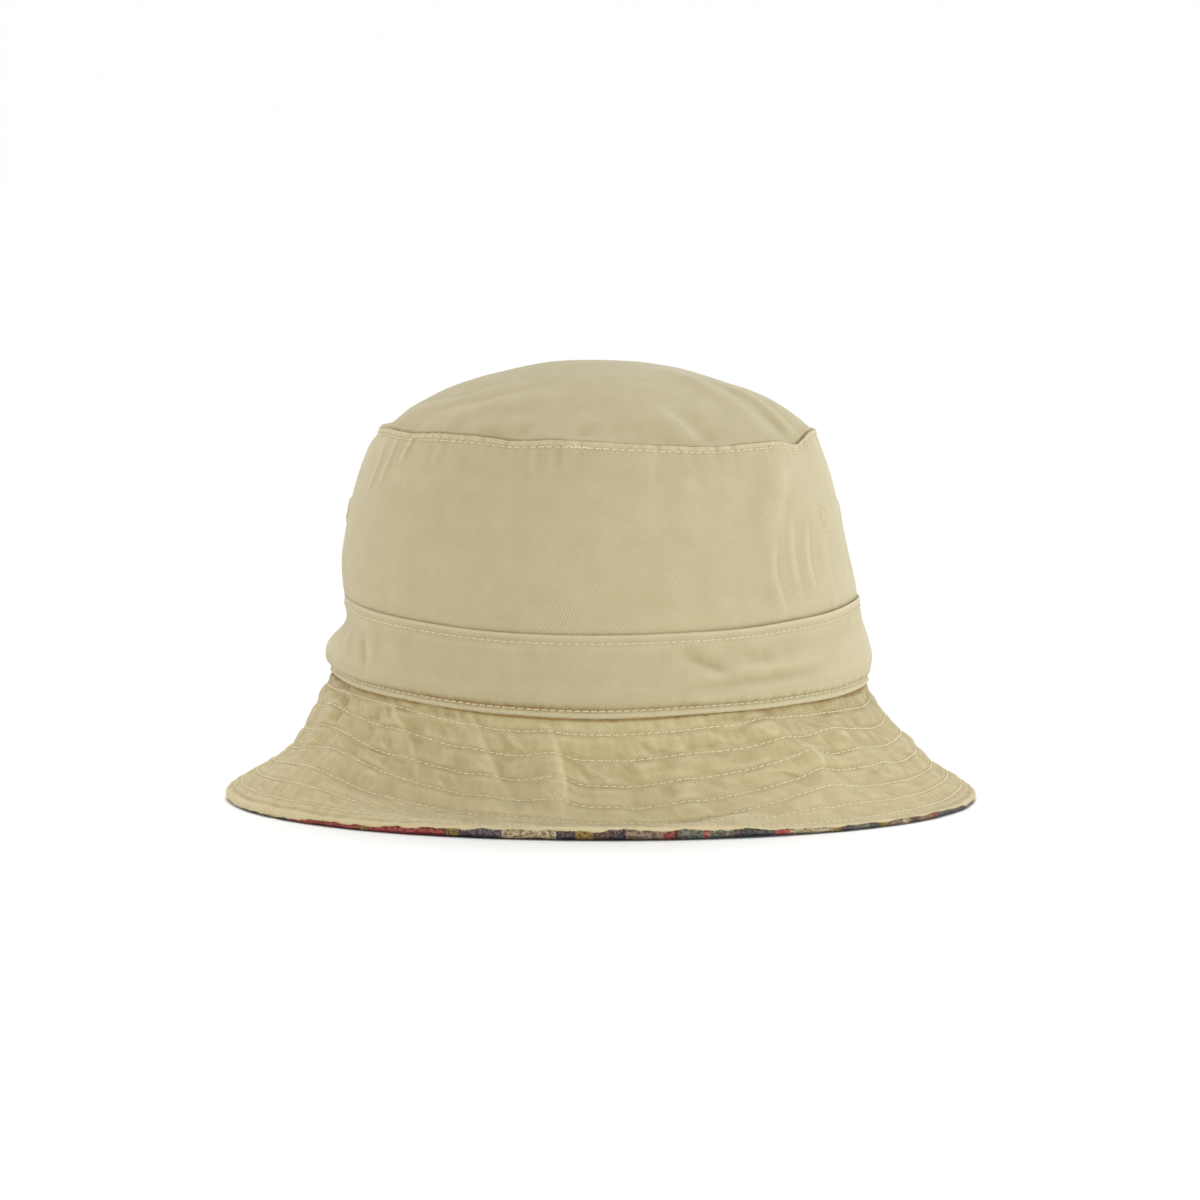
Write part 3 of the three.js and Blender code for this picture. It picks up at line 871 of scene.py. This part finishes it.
def make_brim_tops(material):
    for half in HALVES:
        angle, start, end = panel_angles(half, 700)
        row = np.linspace(0.0, HEM, 128)[:, None]
        points = brim_top(angle, row)
        out = outward(brim_shape, angle, row)
        points -= out * seam_roll(angle, start, end)
        split = hem_split(angle[0])
        quarter = math.pi / 2
        roll = [hem_section(angle[0], quarter + (split - quarter) * share, 1.35 * (1 - 0.25 * share**6))
                for share in (0.2, 0.4, 0.6, 0.8, 0.95, 1.0)]
        tuck = hem_section(angle[0], split - 0.05, 0.35)
        points = np.concatenate([points, np.stack(roll + [tuck])])
        run = np.concatenate([row[:, 0], HEM + 0.05 * np.arange(1, len(roll) + 2)])[:, None]
        # The tone: painted shade just below the band and in the grooves, worn pale ridges, and painted light
        # and shade by where the brim faces.
        below_band = band(angle, BAND_WIDTH)[..., 2] - 0.6 - points[..., 2]
        tone = paint_crease_shade(relief(points, False), below_band, 0.8) + brim_painted_light(angle, run)
        flat = brim_pattern(angle, run, (start + end) / 2)
        mesh = grid_mesh(f"brim_top_{half}_cloth", points, flat, tone, False)
        new_piece(mesh, "khaki_twill", material, f"brim_top_{half}")


def add_plaid(node, points, flat, closed, material, *hidden):
    """A piece of the plaid cotton, evenly worn, for its node and any others hidden behind it."""
    mesh = grid_mesh(f"{node}_cloth", points, flat, np.zeros(points.shape[:2]), closed)
    if closed:
        close_middle(mesh)
    new_piece(mesh, "plaid_cotton", material, node, *hidden)


def make_brim_unders(material):
    for half in HALVES:
        angle, start, end = panel_angles(half, 520)
        split = hem_split(angle[0])
        tuck = hem_section(angle[0], split + 0.02, 0.3)
        roll = [hem_section(angle[0], split + (-math.pi / 2 - split) * share, 1.3 * min(1, 0.72 + share))
                for share in (0.0, 0.1, 0.25, 0.45, 0.65, 0.82, 1.0)]
        row = np.linspace(HEM - 0.12, 0.05, 84)[:, None]
        points = brim_under(angle, row)
        out = outward(brim_shape, angle, row)
        points += out * seam_roll(angle, start, end)
        points = np.concatenate([np.stack([tuck] + roll), points])
        run = np.array([0, 0.3, 0.7, 1.3, 2.1, 2.9, 3.6, 4.3])
        run = np.concatenate([run, 4.8 + (HEM - row[:, 0]) * ROW_SPACING])[:, None]
        flat = flat_place(np.degrees(angle - FACING), run)
        hidden = ["brim_interlining"] if half == "front" else []
        add_plaid(f"brim_underside_{half}", points, flat, False, material, *hidden)


def make_linings(material):
    for half in HALVES:
        angle, start, end = panel_angles(half, 260)
        down = np.linspace(CROWN_LENGTH, 1.2, 64)[:, None]
        height = wall_low(angle, down) - 1.8 - 0.25 * round_noise(angle, down / 14, 40, 51)
        points = wall_layer(angle, down, height + seam_roll(angle, start, end)[..., 0])
        flat = flat_place(np.degrees(angle - FACING), 90 + CROWN_LENGTH - down)
        add_plaid(f"lining_side_{half}", points, flat, False, material)
    angle, turns = full_turn(360)
    share = np.concatenate([np.linspace(0.975, 0.02, 60), [0.002]])[:, None]
    out = outward(tip_shape, angle, share, 0.004)
    points = tip_shape(angle, share) + out * (tip_height(angle, share) * 0.8 - 2.2)[..., None]
    reach = TIP_RADIUS * share
    flat = flat_place(reach * np.cos(turns), reach * np.sin(turns) + 300)
    add_plaid("lining_tip", points, flat, True, material)


# ---- Thread ----

STITCH_SIDES = 6
STITCH_SECTIONS = [(0.0, -0.24), (0.12, 0.0), (0.5, 0.07), (0.88, 0.0), (1.0, -0.24)]  # (share, lift in mm)


def stitch_meshes(name, path, out, pitch, radius, wobble, seed, tack=None):
    """Separate stitches along a closed path, each a short round thread that dives into the cloth at its ends.

    Where the tack is, the row is sewn a second time a little to the side of itself."""
    generator = np.random.default_rng(seed)
    path, out = np.concatenate([path, path[:1]]), np.concatenate([out, out[:1]])
    distance = np.concatenate([[0], np.cumsum(np.linalg.norm(np.diff(path, axis=0), axis=1))])
    total = distance[-1]
    count = int(round(total / pitch))
    pitch = total / count

    def at(where, values):
        return np.stack([np.interp(where % total, distance, values[:, k]) for k in range(3)], -1)

    begin = np.arange(count) * pitch + generator.uniform(-0.12, 0.12, count)
    length = pitch * generator.uniform(0.8, 0.9, count)
    lean = generator.uniform(0.4, 1.0, count) * wobble
    aside = np.zeros(count)
    if tack is not None:
        again = np.flatnonzero((begin > tack[0] * total) & (begin < tack[1] * total))
        begin = np.append(begin, begin[again] + 0.5 * pitch)
        length, lean = np.append(length, length[again]), np.append(lean, -lean[again])
        aside = np.append(aside, np.full(len(again), 0.34))
        count = len(begin)
    rings = []
    for share, lift in STITCH_SECTIONS:
        where = begin + share * length
        centre, normal = at(where, path), unit(at(where, out))
        across = np.cross(normal, unit(at(where + 0.2, path) - centre))
        centre = centre + normal * (lift + radius * 0.35)
        centre = centre + across * ((share - 0.5) * 2 * lean + aside)[:, None]
        thick = radius * (0.55 if share in (0.0, 1.0) else 1.0)
        for side in range(STITCH_SIDES):
            turn = TURN * side / STITCH_SIDES
            rings.append(centre + (across * math.cos(turn) + normal * math.sin(turn) * 0.85) * thick)
    points = np.stack(rings, axis=1)
    ring = np.arange(STITCH_SIDES)
    after = (ring + 1) % STITCH_SIDES
    low = np.arange(0, len(rings) - STITCH_SIDES, STITCH_SIDES)[:, None]
    high = low + STITCH_SIDES
    quads = np.stack([low + ring, low + after, high + after, high + ring], axis=-1)
    ends = np.stack([ring[::-1], len(rings) - STITCH_SIDES + ring])
    first = np.arange(count)[:, None, None] * len(rings)
    faces = (first + quads.reshape(-1, 4)).reshape(-1, 4).tolist()
    faces += (first + ends).reshape(-1, STITCH_SIDES).tolist()
    mesh = bpy.data.meshes.new(name)
    mesh.from_pydata((points.reshape(-1, 3) * MM).tolist(), [], faces)
    mesh.polygons.foreach_set("use_smooth", np.ones(len(faces), bool))
    mesh.update()
    return mesh


def surface_path(surface, down, count=2600):
    """A closed path round a surface, a distance down it, and the direction out of the surface along it."""
    angle = np.linspace(0, TURN, count, endpoint=False)
    gap = 0.03 if surface in (brim_top, brim_under) else 0.25
    middle = surface(angle, down)
    along = np.roll(middle, -1, 0) - np.roll(middle, 1, 0)
    downward = surface(angle, down + gap) - surface(angle, down - gap)
    return middle, unit(np.cross(downward, along))


def make_thread(thread):
    rows = [("tip_seam_stitching", wall, CROWN_TOP_ROW), ("band_top_stitching", band, BAND_TOP_ROW),
            ("band_bottom_stitching", band, BAND_BOTTOM_ROW)]
    rows += [(f"brim_stitching_row_{k}", brim_top, float(k)) for k in range(1, ROWS + 1)]
    facing = (FACING / TURN) % 1
    for seed, (node, surface, down) in enumerate(rows, start=1):
        path, out = surface_path(surface, down)
        tack = (facing - 0.024, facing - 0.010) if node == "tip_seam_stitching" else None
        radius = 0.23 if surface is brim_top else 0.22
        mesh = stitch_meshes(f"{node}_thread", path, out, 2.85, radius, 0.12, seed, tack)
        new_piece(mesh, "khaki_thread", thread, node)
    for k in range(1, ROWS + 1):
        path, out = surface_path(brim_under, float(k))
        mesh = stitch_meshes(f"brim_under_row_{k}_thread", path, -out, 2.75, 0.19, 0.08, 40 + k)
        new_piece(mesh, "khaki_thread", thread)


# ---- Eyelets ----

HOLE_RADIUS = 0.8


def make_eyelet(node, thread):
    """Thread worked round a hole, as spokes from the hole out to a ragged rim, on both faces of the cloth."""
    low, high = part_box(node)
    centre = (Vector(low) + Vector(high)) / 2 / MM
    angle = np.array([math.atan2(centre.y / 90.5, centre.x / 84)])
    down = (SEAM_HEIGHT + 0.4 - centre.z) * 1.03
    out = outward(wall_shape, angle, down)[0]
    place = wall(angle, down)[0] - out * (0.42 if node == "eyelet_left_back" else 0.0)
    up = unit(np.array([0, 0, 1.0]) - out * out[2])
    side = np.cross(up, out)
    spokes, steps = 34, 8
    turn = np.linspace(0, TURN, spokes * steps, endpoint=False)
    ragged = 4.35 + 0.28 * np.cos(turn * spokes) + 0.18 * np.sin(turn * 7 + 1) + 0.12 * np.sin(turn * 13)
    share = np.array([0, 0.06, 0.16, 0.3, 0.5, 0.7, 0.85, 0.95, 1.0])
    swell = np.array([-0.9, 0.1, 0.36, 0.5, 0.48, 0.4, 0.3, 0.16, -0.2])
    cord = 0.1 * np.cos(turn * spokes)
    rings = []
    for s, h in zip(share, swell):
        radius = HOLE_RADIUS + (ragged - HOLE_RADIUS) * s
        lift = h + cord * math.sin(math.pi * min(1, s + 0.08)) * (h > 0)
        flat = place + np.outer(radius * np.cos(turn), side) + np.outer(radius * np.sin(turn), up)
        rings.append(flat + np.outer(lift, out))
    points = np.stack(rings)
    flat, tone = np.zeros((len(share), len(turn) + 1, 2)), np.full(points.shape[:2], 0.15)
    mesh = grid_mesh(f"{node}_outside", points, flat, tone, True)
    mesh.flip_normals()
    new_piece(mesh, "khaki_thread", thread, node)
    inner = 2 * (place - out * 0.85) - points
    new_piece(grid_mesh(f"{node}_inside", inner, flat, tone, True), "khaki_thread", thread)


# ---- Materials ----


class Nodes:
    """A short way to write a material's node tree."""

    def __init__(self, name):
        self.material = bpy.data.materials.new(name)
        self.material.use_nodes = True
        self.tree = self.material.node_tree
        self.shader = self.tree.nodes["Principled BSDF"]

    def add(self, kind, inputs=None, **settings):
        node = self.tree.nodes.new(kind)
        for key, value in settings.items():
            setattr(node, key, value)
        for key, value in (inputs or {}).items():
            if isinstance(value, bpy.types.NodeSocket):
                self.tree.links.new(value, node.inputs[key])
            else:
                node.inputs[key].default_value = value
        return node

    def math(self, operation, a, b=0.0):
        return self.add("ShaderNodeMath", {0: a, 1: b}, operation=operation).outputs[0]

    def total(self, parts, start=0.0):
        """A start value and each part times its weight, added up."""
        for part, weight in parts:
            inputs = {0: part, 1: weight, 2: start}
            start = self.add("ShaderNodeMath", inputs, operation="MULTIPLY_ADD").outputs[0]
        return start

    def noise(self, place, scale, detail):
        inputs = {"Vector": place, "Scale": scale, "Detail": detail}
        return self.add("ShaderNodeTexNoise", inputs).outputs["Fac"]

    def stripes(self, place, scale, distortion, detail=2.0, detail_scale=1.0, direction="X"):
        inputs = {"Vector": place, "Scale": scale, "Distortion": distortion, "Detail": detail,
                  "Detail Scale": detail_scale}
        return self.add("ShaderNodeTexWave", inputs, bands_direction=direction).outputs["Fac"]

    def turned(self, place, angle):
        return self.add("ShaderNodeMapping", {"Vector": place, "Rotation": (0, 0, angle)}).outputs["Vector"]

    def mix(self, factor, a, b, blend="MIX"):
        node = self.add("ShaderNodeMix", {"Factor": factor}, data_type="RGBA", blend_type=blend)
        for socket, value in ((node.inputs[6], a), (node.inputs[7], b)):
            if isinstance(value, bpy.types.NodeSocket):
                self.tree.links.new(value, socket)
            else:
                socket.default_value = value
        return node.outputs[2]

    def ramp(self, factor, stops, interpolation="LINEAR"):
        node = self.add("ShaderNodeValToRGB", {"Fac": factor})
        node.color_ramp.interpolation = interpolation
        elements = node.color_ramp.elements
        while len(elements) < len(stops):
            elements.new(0.5)
        for element, (place, color) in zip(elements, stops):
            element.position = place
            element.color = color
        return node.outputs["Color"]

    def finish(self, color, height, strength, depth, roughness, specular):
        """Gives the shader its colour, a bump of a depth in metres, and its even roughness and shine."""
        bump = self.add("ShaderNodeBump", {"Height": height, "Strength": strength, "Distance": depth})
        self.tree.links.new(color, self.shader.inputs["Base Color"])
        self.tree.links.new(bump.outputs["Normal"], self.shader.inputs["Normal"])
        self.shader.inputs["Roughness"].default_value = roughness
        self.shader.inputs["Specular IOR Level"].default_value = specular
        return self.material


def srgb(red, green, blue):
    """A linear colour from the 0 to 255 numbers of a display."""
    values = [c / 255 for c in (red, green, blue)]
    return tuple(c / 12.92 if c <= 0.04045 else ((c + 0.055) / 1.055) ** 2.4 for c in values) + (1.0,)


STRIPE_SCALE = 0.314  # the scale at which stripes are one unit apart


def twill_material(name, light, dark, lean, wale, contrast, cross):
    """Washed cotton twill, worn pale on its ridges, with painted shade in its creases and painted light and
    shade round its sides, carried by its tone.

    Its diagonal wales are the wale apart and lean by degrees. The cross is how much its single yarns show."""
    n = Nodes(name)
    uv = n.add("ShaderNodeUVMap", uv_map="cloth").outputs["UV"]
    leaning = n.turned(uv, math.radians(lean))
    wales = n.stripes(leaning, STRIPE_SCALE / wale, 0.55, 1.0, 1.2)
    yarns = n.stripes(leaning, STRIPE_SCALE / 0.8, 0.8, 1.0, 2.0, direction="Y")
    weave = n.total([(wales, 1 - cross), (yarns, cross)])
    fibres = n.noise(uv, 1.7, 3.0)
    drift = n.noise(uv, 0.11, 2.0)
    # The tone holds the worn pale ridges, and the painted shade and painted light.
    tone = n.add("ShaderNodeAttribute", attribute_name="tone").outputs["Fac"]
    parts = [(weave, 0.6 * contrast), (fibres, 0.16), (drift, 0.24), (tone, 0.24)]
    shade = n.total(parts, 0.42 - 0.3 * contrast)
    color = n.ramp(shade, [(0.02, PAINTED_SHADE_KHAKI), (0.32, dark), (0.92, light)])
    n.shader.inputs["Sheen Weight"].default_value = 0.18
    n.shader.inputs["Sheen Roughness"].default_value = 0.5
    return n.finish(color, n.total([(fibres, 0.5)], weave), 0.8 * contrast, 0.00014, 0.86, 0.22)


PAINTED_SHADE_KHAKI = srgb(146, 117, 64)  # the warm dark khaki of the painted shade in creases and recesses
RED, ROSE = srgb(172, 34, 46), srgb(214, 82, 84)
NAVY, TEAL = srgb(40, 44, 66), srgb(30, 60, 72)
SAGE, MUSTARD = srgb(104, 118, 100), srgb(158, 130, 46)
CREAM, TAN, BROWN, SLATE = srgb(212, 194, 150), srgb(150, 126, 104), srgb(98, 62, 52), srgb(78, 80, 98)

# stripes of the patches, each from a share of the way across
FRONT_STRIPES = [
    (0.0, RED), (0.085, MUSTARD), (0.1, RED), (0.25, MUSTARD), (0.27, NAVY), (0.295, SLATE), (0.345, CREAM),
    (0.434, TEAL), (0.447, NAVY), (0.465, MUSTARD), (0.5, BROWN), (0.52, NAVY), (0.548, TAN), (0.611, RED),
    (0.627, BROWN), (0.638, SAGE), (0.678, ROSE), (0.684, SAGE), (0.727, BROWN), (0.737, TEAL),
    (0.802, ROSE), (0.83, CREAM), (0.915, MUSTARD), (0.93, NAVY), (0.96, SAGE)
]
SIDE_STRIPES = [
    (0.0, TEAL), (0.02, MUSTARD), (0.04, TAN), (0.08, CREAM), (0.1, BROWN), (0.13, TAN), (0.17, RED),
    (0.19, SLATE), (0.3, NAVY), (0.36, SAGE), (0.45, CREAM), (0.5, NAVY), (0.56, BROWN), (0.6, MUSTARD),
    (0.62, TAN), (0.67, SLATE), (0.76, NAVY), (0.8, SAGE), (0.84, CREAM), (0.86, NAVY), (0.91, RED)
]
WEFT_STRIPES = [
    (0.0, NAVY), (0.14, CREAM), (0.17, SAGE), (0.36, MUSTARD), (0.4, NAVY), (0.52, RED), (0.6, TAN),
    (0.78, TEAL), (0.9, CREAM), (0.94, TAN)
]


def plaid_material(name):
    """Patchwork of woven checks: squares of cloth whose coloured stripes cross, thread over thread."""
    n = Nodes(name)
    uv = n.add("ShaderNodeUVMap", uv_map="cloth").outputs["UV"]
    parts = n.add("ShaderNodeSeparateXYZ", {"Vector": uv})
    degrees, down = parts.outputs["X"], parts.outputs["Y"]
    tier = n.math("FLOOR", n.math("DIVIDE", n.math("ADD", down, 18.0), 52.0))
    quarters = n.math("DIVIDE", n.total([(tier, 33.0), (degrees, 1.0)], 45.0), 90.0)
    turn = n.math("FRACT", quarters)
    aside = n.math("GREATER_THAN", n.math("FRACT", n.math("MULTIPLY", quarters, 0.5)), 0.5)
    warp = n.mix(aside, n.ramp(turn, FRONT_STRIPES, "CONSTANT"), n.ramp(turn, SIDE_STRIPES, "CONSTANT"))
    weft_place = n.math("FRACT", n.math("DIVIDE", n.total([(tier, 7.7), (down, 1.0)], -2.4), 31.0))
    weft = n.ramp(weft_place, WEFT_STRIPES, "CONSTANT")
    cloth = n.add("ShaderNodeCombineXYZ", {"X": n.math("MULTIPLY", degrees, 2.0), "Y": down}).outputs[0]
    over = n.stripes(n.turned(cloth, 0.8), STRIPE_SCALE / 0.75, 3.4)
    crossed = n.math("MULTIPLY", n.math("GREATER_THAN", over, 0.45), 0.6)
    fibres = n.noise(cloth, 1.4, 3.0)
    worn = n.mix(n.math("MULTIPLY", fibres, 0.35), n.mix(crossed, warp, weft), srgb(112, 96, 84))
    flecks = n.ramp(n.noise(cloth, 0.9, 1.0), [(0.4, (0.42, 0.4, 0.4, 1)), (0.6, (1.1, 1.1, 1.1, 1))])
    worn = n.mix(1.0, worn, flecks, "MULTIPLY")
    from_seam = n.math("ABSOLUTE", n.math("SUBTRACT", n.math("FRACT", n.math("MULTIPLY", turn, 4.0)), 0.5))
    color = n.mix(n.math("LESS_THAN", from_seam, 0.494), srgb(66, 56, 54), worn)
    return n.finish(color, n.math("ADD", over, fibres), 0.5, 0.0001, 0.9, 0.2)


def thread_material(name, light, dark):
    """Twisted cotton thread."""
    n = Nodes(name)
    place = n.add("ShaderNodeTexCoord").outputs["Object"]
    strands = n.stripes(place, 420.0, 3.0, direction="DIAGONAL")
    fuzz = n.noise(place, 900.0, 2.0)
    color = n.ramp(n.total([(strands, 0.5), (fuzz, 0.5)]), [(0.2, dark), (0.75, light)])
    return n.finish(color, strands, 0.5, 0.00008, 0.62, 0.3)


# ---- The hat ----

bpy.context.scene.view_settings.view_transform = "Standard"
make_camera()
make_studio()

khaki, faded_khaki = srgb(168, 154, 114), srgb(202, 190, 155)
make_walls(twill_material("crown_twill", faded_khaki, khaki, 28, 0.97, 0.7, 0.34))
# The tip's twill is a darker copy of the crown's: painted shade on the top of the hat.
make_tip(twill_material("tip_twill", srgb(194, 183, 148), srgb(163, 150, 111), -40, 0.95, 0.4, 0.38))
make_band(twill_material("band_twill", faded_khaki, khaki, 8, 0.97, 0.34, 0.3))
# The brim's twill is a lighter copy of the crown's: painted light on the brim.
make_brim_tops(twill_material("brim_twill", srgb(209, 194, 152), srgb(168, 151, 107), -44, 1.0, 0.58, 0.56))
plaid = plaid_material("patchwork_plaid")
make_brim_unders(plaid)
make_linings(plaid)
make_thread(thread_material("khaki_thread", srgb(234, 224, 192), srgb(210, 197, 158)))
eyelet_thread = thread_material("eyelet_thread", srgb(214, 203, 168), srgb(186, 172, 130))
for eyelet in sorted(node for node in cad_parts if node.startswith("eyelet")):
    make_eyelet(eyelet, eyelet_thread)
